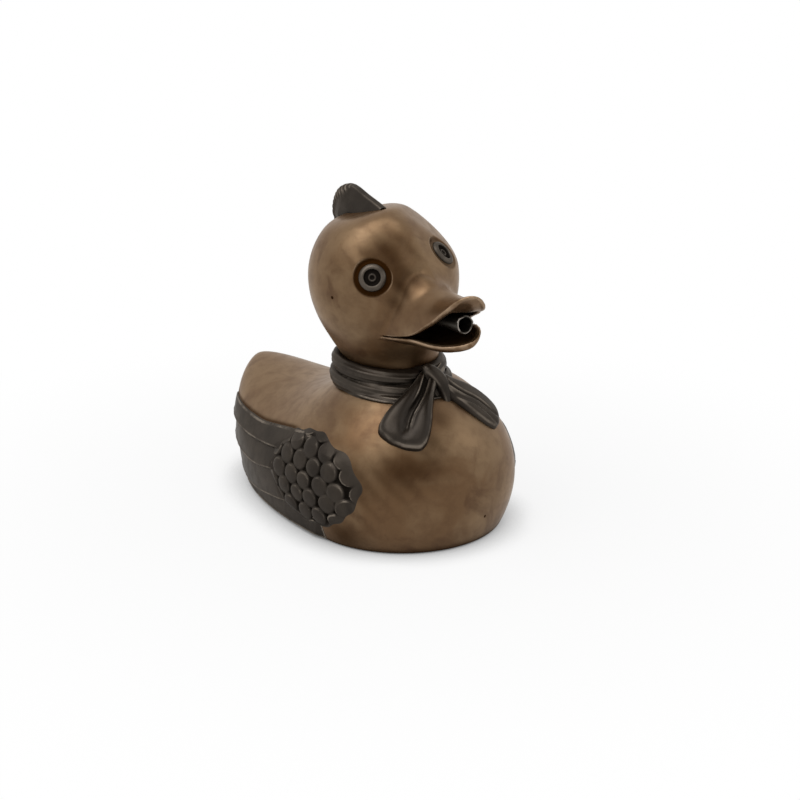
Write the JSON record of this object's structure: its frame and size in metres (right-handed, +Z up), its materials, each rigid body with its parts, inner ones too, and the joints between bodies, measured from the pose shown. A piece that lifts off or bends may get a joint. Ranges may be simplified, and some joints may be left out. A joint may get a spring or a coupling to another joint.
{
  "type": "duck fountain spout",
  "caption": "Brown bronze toy-shaped duck with a neckerchief, a garden fountain figure whose open bill ends a water tube.",
  "frame": {"origin": "the middle of the footprint of the whole duck, on the surface it stands on", "axes": "+Z up, -Y the way the breast faces, +X the duck's left side; the head turns a little to its right"},
  "size_m": [0.1604, 0.2722, 0.2334],
  "materials": {
    "bronze_brown": "brown patina, rubbed bright on edges",
    "bronze_dark": "dark patina, rubbed bright on edges",
    "tube_brass": "drawn, dulled",
    "fitting_brass": "machined",
    "screw_steel": "plain",
    "gasket_rubber": "matte"
  },
  "bodies": {
    "root": {"body_casting": "bronze_brown", "head_casting": "bronze_brown", "lower_bill": "bronze_brown", "crest": "bronze_dark", "right_eye": "bronze_dark", "left_eye": "bronze_dark", "scarf_band": "bronze_dark", "scarf_knot": "bronze_dark", "scarf_tail_right": "bronze_dark", "scarf_tail_left": "bronze_dark", "right_wing_coverts": "bronze_dark", "left_wing_coverts": "bronze_dark", "right_wing_feathers": "bronze_dark", "left_wing_feathers": "bronze_dark", "riser_tube": "tube_brass", "tube_coupling": "tube_brass", "spout_tube": "tube_brass", "base_plate": "fitting_brass", "inlet_socket": "fitting_brass", "inlet_locknut": "fitting_brass", "throat_bracket": "fitting_brass", "base_screw_1": "screw_steel", "base_screw_2": "screw_steel", "base_screw_3": "screw_steel", "base_screw_4": "screw_steel", "inlet_gasket": "gasket_rubber"}
  },
  "joints": []
}
